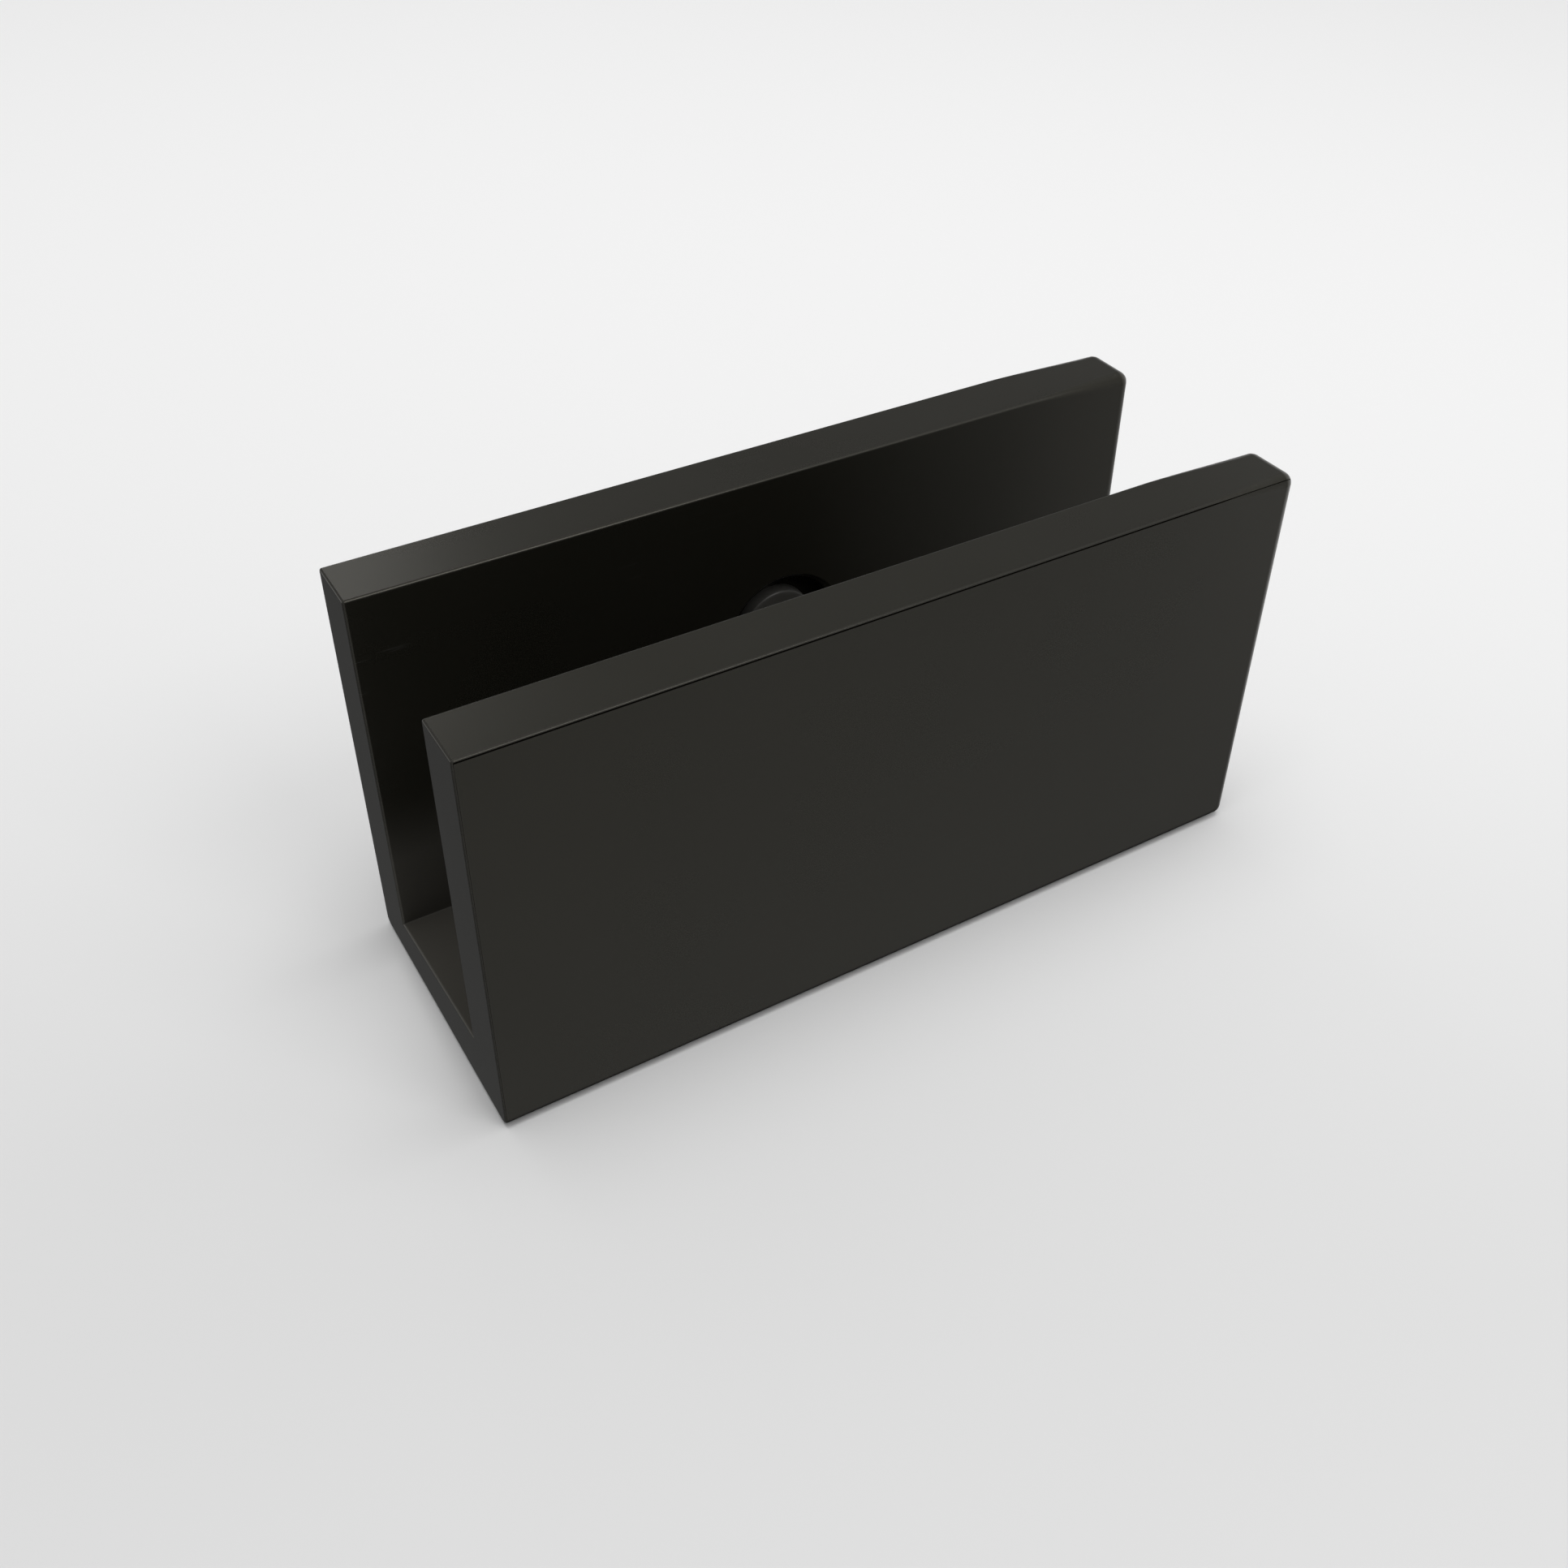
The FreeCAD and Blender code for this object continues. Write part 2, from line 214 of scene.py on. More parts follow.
# What each pattern adds to the moulding's roughness
CLOUD_ROUGHNESS = 0.04
SMEAR_ROUGHNESS = 0.025
GRIT_ROUGHNESS = 0.015
PAINTED_LIGHT_ROUGHNESS = 0.2
MARK_ROUGHNESS = 0.18
DUST_ROUGHNESS = 0.3
WEAR_SMOOTHNESS = 0.04

# The moulding's wear as shares of its width, and its dust, grit and scratches
WEAR_RAGGEDNESS = 0.5
WEAR_CORE = 0.1
SPECK_CORE = 0.4
DUST_SPACING = 3.4 * MM
DUST_SIZE = 0.08 * MM
DUST_SHARE = 0.12
GRIT_HEIGHT = 0.05
MARK_DEPTH = 0.2

# The small pieces' finishes. A scale is in blobs per metre and a band is where a pattern fades in. A
# PALER moves the colour towards white, a TINT is how strongly a pattern shows in the colour, and a
# ROUGHER or SMOOTHER is what a pattern adds to the roughness or takes from it.
CAP_CLOUDS = 160.0
CAP_CLOUD_PALER = 0.012
CAP_CLOUD_ROUGHER = 0.12
CAP_RIM = 0.7 * MM
CAP_RIM_PALER = 0.03
CAP_RIM_TINT = 0.4
CAP_RIM_SMOOTHER = 0.08
CAP_RING_SPACING = 0.35 * MM
CAP_RING_ROUGHER = 0.02
CAP_RING_HEIGHT = 0.3
CAP_RELIEF = 0.012 * MM

COVER_ROUGHNESS = 0.62
COVER_PITS = 2600.0
COVER_PIT_BAND = (0.52, 0.68)
COVER_PIT_DEPTH = 0.05 * MM
COVER_CLOUDS = 28.0
COVER_CLOUD_BAND = (0.35, 0.7)
COVER_CLOUD_PALER = 0.012
COVER_CLOUD_ROUGHER = 0.1
COVER_RUB_PALER = 0.04
COVER_RUB_TINT = 0.35
COVER_RUB_SMOOTHER = 0.16
COVER_DUST_SPACING = 3.2 * MM
COVER_DUST_SIZE = 0.12 * MM
COVER_DUST_SHARE = 0.3
COVER_DUST_TINT = 0.5

STEEL_ROUGHNESS = 0.3
STEEL_GRAIN = 900.0
STEEL_GRAIN_STRETCH = (0.03, 1.0, 1.0)
STEEL_GRAIN_PALER = 0.12
STEEL_GRAIN_ROUGHER = 0.18
STEEL_GRAIN_DEPTH = 0.02 * MM
STAINS = 60.0
STAIN_BAND = (0.56, 0.72)
STAIN_COLOUR = (0.16, 0.13, 0.1)
STAIN_TINT = 0.6
STAIN_ROUGHER = 0.2

OXIDE_ROUGHNESS = 0.34
OXIDE_CLOUDS = 420.0
OXIDE_CLOUD_PALER = 0.05
OXIDE_CLOUD_ROUGHER = 0.16
OXIDE_RUBS = 1300.0
OXIDE_RUB_BAND = (0.55, 0.7)
OXIDE_RUB_TINT = 0.4
OXIDE_RUB_SMOOTHER = 0.08
OXIDE_GRAIN = 4200.0
OXIDE_GRAIN_DEPTH = 0.01 * MM

RUBBER_ROUGHNESS = 0.78
RUBBER_BLOOM = 240.0
RUBBER_BLOOM_BAND = (0.4, 0.75)
RUBBER_BLOOM_PALER = 0.03
RUBBER_BLOOM_ROUGHER = 0.12
RUBBER_GRAIN = 3800.0
RUBBER_GRAIN_DEPTH = 0.02 * MM
RUBBER_DUST_SPACING = 1.4 * MM
RUBBER_DUST_SIZE = 0.1 * MM
RUBBER_DUST_SHARE = 0.35
RUBBER_DUST_TINT = 0.6


class Reading:
    """A shader socket that takes part in arithmetic. Each operator adds a Math node."""

    def __init__(self, work, socket):
        self.work = work
        self.socket = socket

    def math(self, operation, *values):
        sockets = {i: value for i, value in enumerate(values)}
        return self.work.node("ShaderNodeMath", {"operation": operation}, sockets)[0]

    def __add__(self, other):
        return self.math("ADD", self, other)

    def __radd__(self, other):
        return self.math("ADD", other, self)

    def __sub__(self, other):
        return self.math("SUBTRACT", self, other)

    def __rsub__(self, other):
        return self.math("SUBTRACT", other, self)

    def __mul__(self, other):
        return self.math("MULTIPLY", self, other)

    def __rmul__(self, other):
        return self.math("MULTIPLY", other, self)

    def __truediv__(self, other):
        return self.math("DIVIDE", self, other)

    def __rtruediv__(self, other):
        return self.math("DIVIDE", other, self)

    def __pow__(self, other):
        return self.math("POWER", self, other)

    def __abs__(self):
        return self.math("ABSOLUTE", self)

    def least(self, other):
        return self.math("MINIMUM", self, other)

    def most(self, other):
        return self.math("MAXIMUM", self, other)


class NodeWork:
    """A node tree in the making."""

    def __init__(self, tree):
        self.tree = tree

    def node(self, kind, settings, inputs):
        """Adds a node and gives back its outputs. Settings are made before the inputs."""
        node = self.tree.nodes.new(kind)
        for name, value in settings.items():
            setattr(node, name, value)
        for name, value in inputs.items():
            self.join(self.find(node, name), value)
        return [Reading(self, output) for output in node.outputs if output.enabled]

    @staticmethod
    def find(node, name):
        """An input by its number, or by its name among those that the settings leave in use."""
        if isinstance(name, int):
            return node.inputs[name]
        return next(socket for socket in node.inputs if socket.name == name and socket.enabled)

    def join(self, socket, value):
        if isinstance(value, Reading):
            self.tree.links.new(value.socket, socket)
        else:
            socket.default_value = value

    def ease(self, value, start, end):
        """Eases from 0 to 1 while the value goes from start to end."""
        inputs = {"Value": value, "From Min": start, "From Max": end}
        return self.node("ShaderNodeMapRange", {"interpolation_type": "SMOOTHSTEP"}, inputs)[0]

    def blend(self, share, first, second):
        """A colour between two others."""
        inputs = {"Factor": share, "A": first, "B": second}
        return self.node("ShaderNodeMix", {"data_type": "RGBA"}, inputs)[0]


class Finish(NodeWork):
    """A material in the making, with its Principled shader."""

    def __init__(self, name, **constants):
        self.material = bpy.data.materials.new(name)
        self.material.use_nodes = True
        super().__init__(self.material.node_tree)
        self.shader = self.tree.nodes["Principled BSDF"]
        for socket, value in constants.items():
            self.shader.inputs[socket.replace("_", " ")].default_value = value
        self.place = self.node("ShaderNodeTexCoord", {}, {})[OBJECT_COORDINATES]
        self.x, self.y, self.z = self.node("ShaderNodeSeparateXYZ", {}, {"Vector": self.place})

    def feed(self, socket, value):
        self.join(self.shader.inputs[socket], value)

    def noise(self, scale, detail=2.0, place=None):
        """Soft noise with a mean near a half. The scale counts blobs per metre."""
        inputs = {"Vector": place or self.place, "Scale": scale, "Detail": detail}
        return self.node("ShaderNodeTexNoise", {}, inputs)[0]

    def stretched(self, turn, stretch):
        """The place, turned and then stretched, for grain and scratches."""
        inputs = {"Vector": self.place, "Rotation": turn, "Scale": stretch}
        return self.node("ShaderNodeMapping", {}, inputs)[0]

    def bump(self, height, depth, strength):
        """Feeds a height pattern to the shader's normal."""
        inputs = {"Height": height, "Distance": depth, "Strength": strength}
        self.feed("Normal", self.node("ShaderNodeBump", {}, inputs)[0])


# Colours and patterns


def colour(value):
    """A colour property as the four numbers that a socket takes."""
    return (*value, 1.0)


def lighter(value, share):
    """A colour moved towards white, as the four numbers that a socket takes."""
    return colour(part + (1.0 - part) * share for part in value)


def grey(level):
    """A grey as the four numbers that a socket takes."""
    return colour((level, level, level))


def swing(pattern, amount):
    """A pattern's rise and fall about a half, times an amount."""
    return (pattern - 0.5) * amount


def second_least(first, second, third):
    """The middle one of three distances, which on a block's face is that to the nearest edge."""
    return first.least(second).most(first.most(second).least(third))


def floor_height(finish):
    """Height of the slot's floor at a point's y."""
    share = (finish.y + SLOT_HALF) / (2 * SLOT_HALF)
    return share * (FLOOR_BACK - FLOOR_FRONT) + (FLOOR_FRONT + SHELL_LOW.z)


def edge_distance(finish):
    """Distance to the nearest edge of the two walls and the floor."""
    above_floor = finish.z - floor_height(finish)
    beside_slot = abs(finish.y) - SLOT_HALF
    gap_x = HALF_LENGTH - abs(finish.x)
    slot_side = abs(beside_slot) + (0.0 - above_floor).most(0.0)
    gap_y = (HALF_WIDTH - abs(finish.y)).least(slot_side)
    slot_floor = abs(above_floor) + beside_slot.most(0.0)
    gap_z = (SHELL_HIGH.z - finish.z).least(slot_floor).least(finish.z - SHELL_LOW.z)
    return second_least(gap_x, gap_y, gap_z)


def edge_wear(finish, width):
    """1 where an edge is rubbed, with a ragged border."""
    ragged = edge_distance(finish) + swing(finish.noise(WEAR_RAGS), WEAR_RAGGEDNESS * width)
    return 1.0 - finish.ease(ragged, WEAR_CORE * width, width)


def scratches(finish, turn, fineness, rarity):
    """Thin, long and rare lines across a surface."""
    lines = finish.noise(fineness, detail=1.0, place=finish.stretched(turn, SCRATCH_STRETCH))
    patches = finish.ease(finish.noise(SCRATCH_PATCHES, detail=1.0), *SCRATCH_PATCH_BAND)
    return finish.ease(lines, rarity, rarity + SCRATCH_SOFTNESS) * patches


def specks(finish, spacing, size, share):
    """Small round specks in a part of the cells of a grid."""
    inputs = {"Vector": finish.place, "Scale": 1.0 / spacing}
    distance, cell = finish.node("ShaderNodeTexVoronoi", {}, inputs)[:2]
    kept = finish.node("ShaderNodeSeparateColor", {}, {"Color": cell})[0]
    speck = finish.ease(distance, size / spacing, SPECK_CORE * size / spacing)
    return speck * finish.ease(kept, 1 - share, 1.0)


def slot_painted_light_mask(finish, settings, in_slot, cloud):
    """Painted light that makes the slot's floor paler and thins out up its walls."""
    above_floor = finish.z - floor_height(finish)
    low = finish.ease(above_floor, settings.painted_light_height, 0.0).least(PAINTED_LIGHT_LIMIT)
    over_floor = finish.ease(above_floor, -SLOT_EDGE, 0.0)
    return low * over_floor * in_slot * (PAINTED_LIGHT_LEAST + cloud * PAINTED_LIGHT_CLOUDS)


# Finishes


def satin_moulding(settings):
    """Satin black moulding with rubbed edges, scratches and dust mostly in the slot, and painted light
    that makes the low part of the slot paler.
    """
    finish = Finish("satin moulding", Specular_Tint=colour(settings.moulding_sheen))
    cloud = finish.noise(MOULDING_CLOUDS, detail=3.0)
    grit = finish.noise(FINE_GRIT)
    in_slot = finish.ease(abs(finish.y), SLOT_HALF + SLOT_EDGE, SLOT_HALF)
    handled = in_slot * finish.ease(finish.x, 0.0, -HALF_LENGTH) * (1 - HANDLED_LEAST) + HANDLED_LEAST
    first, second = (scratches(finish, *scratch_set) for scratch_set in SCRATCH_SETS)
    marks = first.most(second) * handled
    dust = specks(finish, DUST_SPACING, DUST_SIZE, DUST_SHARE) * handled
    wear = edge_wear(finish, settings.wear_width)
    lint = slot_painted_light_mask(finish, settings, in_slot, cloud)
    patterns = (cloud, wear, marks, dust, lint)
    finish.feed("Base Color", moulding_tone(finish, settings, *patterns))
    finish.feed("Roughness", moulding_roughness(finish, settings, in_slot, grit, *patterns))
    ripple = finish.noise(MOULDING_RIPPLES, detail=1.0)
    finish.bump(ripple + grit * GRIT_HEIGHT - marks * MARK_DEPTH, settings.peel_depth, strength=0.6)
    return finish.material


def moulding_tone(finish, settings, cloud, wear, marks, dust, lint):
    """The moulding's black, paler in clouds, on edges, in scratches and under dust, with painted light
    making the low part of the slot paler.
    """
    black = settings.moulding_colour
    tone = finish.blend(cloud, colour(black), lighter(black, CLOUD_PALER))
    tone = finish.blend(wear * WEAR_TINT, tone, lighter(black, WEAR_PALER))
    tone = finish.blend(marks * MARK_TINT, tone, lighter(black, MARK_PALER))
    tone = finish.blend(dust * DUST_TINT, tone, colour(settings.dust_and_painted_light_colour))
    # Painted light: the low part of the slot is painted paler, towards the dust colour.
    return finish.blend(lint * settings.lint, tone, colour(settings.dust_and_painted_light_colour))


def moulding_roughness(finish, settings, in_slot, grit, cloud, wear, marks, dust, lint):
    """The moulding's roughness, higher in the slot towards its right end."""
    smear = finish.noise(MOULDING_SMEARS, detail=4.0, place=finish.stretched(SMEAR_TURN, SMEAR_STRETCH))
    rough = swing(cloud, CLOUD_ROUGHNESS) + swing(smear, SMEAR_ROUGHNESS) + swing(grit, GRIT_ROUGHNESS)
    rough = rough + lint * PAINTED_LIGHT_ROUGHNESS + settings.moulding_roughness + marks * MARK_ROUGHNESS
    rough = rough + dust * DUST_ROUGHNESS - wear * WEAR_SMOOTHNESS
    rubbed = in_slot * finish.ease(finish.x, RUBBED_START, RUBBED_END)
    return rough + rubbed * settings.slot_rubbing


def cap_moulding(settings, middle, radius):
    """The cap's rougher moulding, with faint turning marks from its mould and a polished rim."""
    finish = Finish("cap moulding")
    across = finish.x - middle.x
    up = finish.z - middle.z
    from_axis = (across * across + up * up) ** 0.5
    turns = from_axis * (2 * math.pi / CAP_RING_SPACING)
    rings = finish.node("ShaderNodeMath", {"operation": "SINE"}, {0: turns})[0]
    cloud = finish.noise(CAP_CLOUDS, detail=3.0)
    rim = finish.ease(from_axis, radius - CAP_RIM, radius)
    plain = settings.cap_colour
    tone = finish.blend(cloud, colour(plain), lighter(plain, CAP_CLOUD_PALER))
    finish.feed("Base Color", finish.blend(rim * CAP_RIM_TINT, tone, lighter(plain, CAP_RIM_PALER)))
    rough = settings.cap_roughness + swing(cloud, CAP_CLOUD_ROUGHER) + rings * CAP_RING_ROUGHER
    finish.feed("Roughness", rough - rim * CAP_RIM_SMOOTHER)
    finish.bump(rings * CAP_RING_HEIGHT + finish.noise(FINE_GRIT), CAP_RELIEF, strength=0.5)
    return finish.material


def spark_texture(settings):
    """The cover's fine spark-eroded texture, rubbed smoother on its high spots."""
    finish = Finish("spark texture")
    pits = finish.noise(COVER_PITS, detail=3.0)
    cloud = finish.noise(COVER_CLOUDS, detail=3.0)
    rubbed = finish.ease(pits, *COVER_PIT_BAND) * finish.ease(cloud, *COVER_CLOUD_BAND)
    dust = specks(finish, COVER_DUST_SPACING, COVER_DUST_SIZE, COVER_DUST_SHARE)
    plain = settings.cover_colour
    tone = finish.blend(cloud, colour(plain), lighter(plain, COVER_CLOUD_PALER))
    tone = finish.blend(rubbed * COVER_RUB_TINT, tone, lighter(plain, COVER_RUB_PALER))
    finish.feed("Base Color", finish.blend(dust * COVER_DUST_TINT, tone, colour(settings.dust_and_painted_light_colour)))
    rough = COVER_ROUGHNESS - rubbed * COVER_RUB_SMOOTHER + swing(cloud, COVER_CLOUD_ROUGHER)
    finish.feed("Roughness", rough)
    finish.bump(pits, COVER_PIT_DEPTH, strength=0.7)
    return finish.material


def cut_bar_steel(settings):
    """Plain flat bar, with rolling grain along it and a few dark stains."""
    finish = Finish("cut bar steel", Metallic=1.0)
    along_bar = finish.stretched((0, 0, 0), STEEL_GRAIN_STRETCH)
    grain = finish.noise(STEEL_GRAIN, detail=3.0, place=along_bar)
    stains = finish.ease(finish.noise(STAINS, detail=4.0), *STAIN_BAND)
    plain = settings.steel_colour
    tone = finish.blend(grain, colour(plain), lighter(plain, STEEL_GRAIN_PALER))
    finish.feed("Base Color", finish.blend(stains * STAIN_TINT, tone, colour(STAIN_COLOUR)))
    rough = STEEL_ROUGHNESS + grain * STEEL_GRAIN_ROUGHER + stains * STAIN_ROUGHER
    finish.feed("Roughness", rough)
    finish.bump(grain, STEEL_GRAIN_DEPTH, strength=0.5)
    return finish.material


def black_oxide(settings):
    """Blackened steel, brighter where a driver has rubbed it."""
    finish = Finish("black oxide", Metallic=1.0)
    cloud = finish.noise(OXIDE_CLOUDS, detail=3.0)
    rubbed = finish.ease(finish.noise(OXIDE_RUBS), *OXIDE_RUB_BAND)
    plain = settings.oxide_colour
    tone = finish.blend(cloud, colour(plain), lighter(plain, OXIDE_CLOUD_PALER))
    finish.feed("Base Color", finish.blend(rubbed * OXIDE_RUB_TINT, tone, colour(settings.steel_colour)))
    rough = OXIDE_ROUGHNESS + cloud * OXIDE_CLOUD_ROUGHER - rubbed * OXIDE_RUB_SMOOTHER
    finish.feed("Roughness", rough)
    finish.bump(finish.noise(OXIDE_GRAIN), OXIDE_GRAIN_DEPTH, strength=0.6)
    return finish.material


def grip_rubber(settings):
    """Matt rubber with a fine grain, a grey bloom and dust."""
    finish = Finish("grip rubber", Specular_IOR_Level=0.35)
    bloom = finish.ease(finish.noise(RUBBER_BLOOM, detail=4.0), *RUBBER_BLOOM_BAND)
    dust = specks(finish, RUBBER_DUST_SPACING, RUBBER_DUST_SIZE, RUBBER_DUST_SHARE)
    plain = settings.rubber_colour
    tone = finish.blend(bloom, colour(plain), lighter(plain, RUBBER_BLOOM_PALER))
    finish.feed("Base Color", finish.blend(dust * RUBBER_DUST_TINT, tone, colour(settings.dust_and_painted_light_colour)))
    finish.feed("Roughness", RUBBER_ROUGHNESS + bloom * RUBBER_BLOOM_ROUGHER)
    finish.bump(finish.noise(RUBBER_GRAIN), RUBBER_GRAIN_DEPTH, strength=0.7)
    return finish.material


def stage_paper_painted_shading(settings):
    """A seamless sheet with painted shading: its colour is painted paler towards the back, with a very
    slight tooth.
    """
    finish = Finish("stage paper", Roughness=0.95, Specular_IOR_Level=0.1)
    away = finish.x * -math.sin(PAPER_HEADING) + finish.y * math.cos(PAPER_HEADING)
    along = (away + PAPER_START).most(0.0)
    pale = (1.0 - PAPER_FALL / (along + PAPER_REACH)).most(0.0)
    tooth = finish.noise(PAPER_TOOTH, detail=3.0)
    near, far = colour(settings.floor_near), colour(settings.floor_far)
    # Painted shading: the floor's colour goes from the darker near tone at the front to the pale far
    # tone at the back.
    shade = finish.blend(finish.ease(pale, 0.0, 1.0), near, far)
    finish.feed("Base Color", finish.blend(tooth * PAPER_TOOTH_TINT, shade, near))
    finish.bump(tooth, PAPER_TOOTH_DEPTH, strength=0.1)
    return finish.material


def studio_sky(world, settings):
    """Light from all round. Its tone changes with height, and towards the back and the right."""
    world.use_nodes = True
    sky = NodeWork(world.node_tree)
    direction = sky.node("ShaderNodeTexCoord", {}, {})[SKY_DIRECTION]
    sideways, backwards, rise = sky.node("ShaderNodeSeparateXYZ", {}, {"Vector": direction})
    low = sky.blend(sky.ease(sideways, *UNDER_BAND), grey(settings.low_back), grey(settings.under))
    low = sky.blend(sky.ease(backwards, *BACK_BAND), grey(settings.low_front), low)
    tone = sky.blend(sky.ease(rise, *LOW_BAND), low, grey(settings.middle))
    tone = sky.blend(sky.ease(rise, *HIGH_BAND), tone, grey(settings.high))
    level = sky.ease(abs(rise - HORIZON_RISE), *HORIZON_BAND) * sky.ease(backwards, *BEHIND_BAND)
    tone = sky.blend(level, tone, grey(settings.horizon))
    tone = sky.blend(sky.ease(sideways, *SIDE_BAND), tone, grey(settings.side))
    sky.join(world.node_tree.nodes["Background"].inputs["Color"], tone)


# Shapes


def ring(bm, radius, height):
    """A circle of vertices round the Z axis, as a list of its edges."""
    made = bmesh.ops.create_circle(bm, cap_ends=False, segments=ROUND_STEPS, radius=radius)
    bmesh.ops.translate(bm, vec=(0, 0, height), verts=made["verts"])
    return list({edge for vert in made["verts"] for edge in vert.link_edges})


def next_ring(bm, edges, start, end):
    """Extrudes a ring of (radius, height) to the next one and gives back the new ring's edges."""
    made = bmesh.ops.extrude_edge_only(bm, edges=edges)["geom"]
    verts = [part for part in made if isinstance(part, bmesh.types.BMVert)]
    scale = end[0] / start[0]
    bmesh.ops.scale(bm, vec=(scale, scale, 1), verts=verts)
    bmesh.ops.translate(bm, vec=(0, 0, end[1] - start[1]), verts=verts)
    return [part for part in made if isinstance(part, bmesh.types.BMEdge)]


def turn_up(bm, edges, outline):
    """Carries a ring along an outline of (radius, height) and gives back the last ring."""
    for start, end in zip(outline, outline[1:]):
        edges = next_ring(bm, edges, start, end)
    return edges


def rounded_corner(radius, height, size):
    """An outer corner's quarter round, from its upright side to its flat top or bottom."""
    angles = [math.pi / 2 * step / CORNER_STEPS for step in range(CORNER_STEPS + 1)]
    return [
        (radius - size + size * math.cos(angle), height + size - size * math.sin(angle))
        for angle in angles
    ]


def close_ring(bm, edges):
    bmesh.ops.contextual_create(bm, geom=edges)


def turned(outline):
    """A closed turned solid on the Z axis, from an outline of (radius, height)."""
    bm = bmesh.new()
    first = ring(bm, *outline[0])
    last = turn_up(bm, first, outline)
    close_ring(bm, first)
    close_ring(bm, last)
    return bm


def copy_to(bm, places):
    """Copies what the mesh holds to each place and removes the first one."""
    first = list(bm.verts) + list(bm.edges) + list(bm.faces)
    for place in places:
        made = bmesh.ops.duplicate(bm, geom=first)["geom"]
        verts = [part for part in made if isinstance(part, bmesh.types.BMVert)]
        bmesh.ops.transform(bm, matrix=place, verts=verts)
    bmesh.ops.delete(bm, geom=first, context="VERTS")


def finished_piece(bm, name, material, node):
    """Makes the mesh a piece that stands for a CAD node."""
    bmesh.ops.remove_doubles(bm, verts=bm.verts, dist=MERGE)
    bmesh.ops.recalc_face_normals(bm, faces=bm.faces)
    mesh = bpy.data.meshes.new(name)
    bm.to_mesh(mesh)
    bm.free()
    mesh.materials.append(material)
    mesh.shade_smooth()
    mesh.set_sharp_from_angle(angle=SHARP_ANGLE)
    piece = bpy.data.objects.new(name, mesh)
    bpy.context.scene.collection.objects.link(piece)
    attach(piece, BODY)
    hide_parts(node)


def dress(node, material):
    """Gives a CAD node its finish."""
    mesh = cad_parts[node].data
    mesh.materials.clear()
    mesh.materials.append(material)


def foot_shape(settings, radius, height):
    """A rubber disc that points down, with round grip grooves in the face that it stands on."""
    outline = [(radius, height)] + rounded_corner(radius, 0.0, FOOT_ROUND)
    pitch = radius / (settings.foot_grooves + 1)
    width = GROOVE_WIDTH_SHARE * pitch
    slope = GROOVE_SLOPE_SHARE * width
    for groove in range(settings.foot_grooves):
        outer = radius - pitch * (groove + GROOVE_START_SHARE)
        outline += [
            (outer, 0.0),
            (outer - slope, settings.groove_depth),
            (outer - (width - slope), settings.groove_depth),
            (outer - width, 0.0),
        ]
    return turned(outline)


def cap_shape(settings, radius, depth):
    """A shallow cap on its open side, with a rounded rim and a slightly dished face at the top."""
    rim = [(r, depth - h) for r, h in rounded_corner(radius, 0.0, CAP_ROUND)]
    dish = [(DISH_RIM_SHARE * radius, depth), (DISH_FLOOR_SHARE * radius, depth - settings.cap_dish)]
    outside = [(radius, 0.0)] + rim + dish
    bm = bmesh.new()
    mouth = ring(bm, *outside[0])
    close_ring(bm, turn_up(bm, mouth, outside))
    inside = [(radius, 0.0), (radius - CAP_SKIRT, 0.0), (radius - CAP_SKIRT, depth - CAP_SHEET)]
    close_ring(bm, turn_up(bm, mouth, inside))
    return bm


def cross_outline(bm, reach, half_width):
    """The twelve edges of a cross about the Z axis."""
    arm = [(half_width, half_width), (reach, half_width), (reach, -half_width)]
    points = [
        Matrix.Rotation(-quarter * math.pi / 2, 2) @ Vector(point)
        for quarter in range(4)
        for point in arm
    ]
    verts = [bm.verts.new((point.x, point.y, 0.0)) for point in points]
    return [bm.edges.new((verts[i - 1], verts[i])) for i in range(len(verts))]


def cut_cross(bm, rim, head, head_height):
    """Closes the rim of a screw's head with a face that has a tapered cross drive in it."""
    cross = cross_outline(bm, head * CROSS_ARM_SHARE, head * CROSS_WIDTH_SHARE / 2)
    bmesh.ops.bridge_loops(bm, edges=rim + cross)
    floor = bmesh.ops.contextual_create(bm, geom=cross)["faces"]
    deep = bmesh.ops.extrude_face_region(bm, geom=floor)["geom"]
    bmesh.ops.delete(bm, geom=floor, context="FACES_ONLY")
    verts = [part for part in deep if isinstance(part, bmesh.types.BMVert)]
    bmesh.ops.scale(bm, vec=(CROSS_TAPER, CROSS_TAPER, 1), verts=verts)
    bmesh.ops.translate(bm, vec=(0, 0, head_height * CROSS_DEPTH_SHARE), verts=verts)


def thread_outline(shank, start, end):
    """A thread's outline of (radius, height), in whole pitches from a start to before an end."""
    outline = []
    height = start
    while height + THREAD_PITCH < end:
        outline.append((shank, height + THREAD_PITCH / 2))
        outline.append((THREAD_ROOT_SHARE * shank, height + THREAD_ROOT_AT * THREAD_PITCH))
        height += THREAD_PITCH
        outline.append((shank, height))
    return outline


def screw_shape(head, shank, head_height, length):
    """A countersunk screw that points up, with a cross drive in its flat underside."""
    bm = bmesh.new()
    lip = head - HEAD_CHAMFER
    rim = ring(bm, lip, 0.0)
    cut_cross(bm, rim, head, head_height)
    outline = [(lip, 0.0), (head, HEAD_CHAMFER_HEIGHT), (shank, head_height)]
    outline += thread_outline(shank, head_height, length - shank)
    outline += [(shank, length - POINT_LENGTH_SHARE * shank), (POINT_END_SHARE * shank, length)]
    close_ring(bm, turn_up(bm, rim, outline))
    return bm


# The stage


def lay_floor(settings):
    """The sheet that the dispenser stands on, which its reflections don't show."""
    bm = bmesh.new()
    bmesh.ops.create_grid(bm, x_segments=1, y_segments=1, size=settings.floor_size / 2)
    mesh = bpy.data.meshes.new("stage floor")
    bm.to_mesh(mesh)
    bm.free()
    mesh.materials.append(stage_paper_painted_shading(settings))
    floor = bpy.data.objects.new("stage_floor", mesh)
    floor.visible_glossy = False
    bpy.context.scene.collection.objects.link(floor)


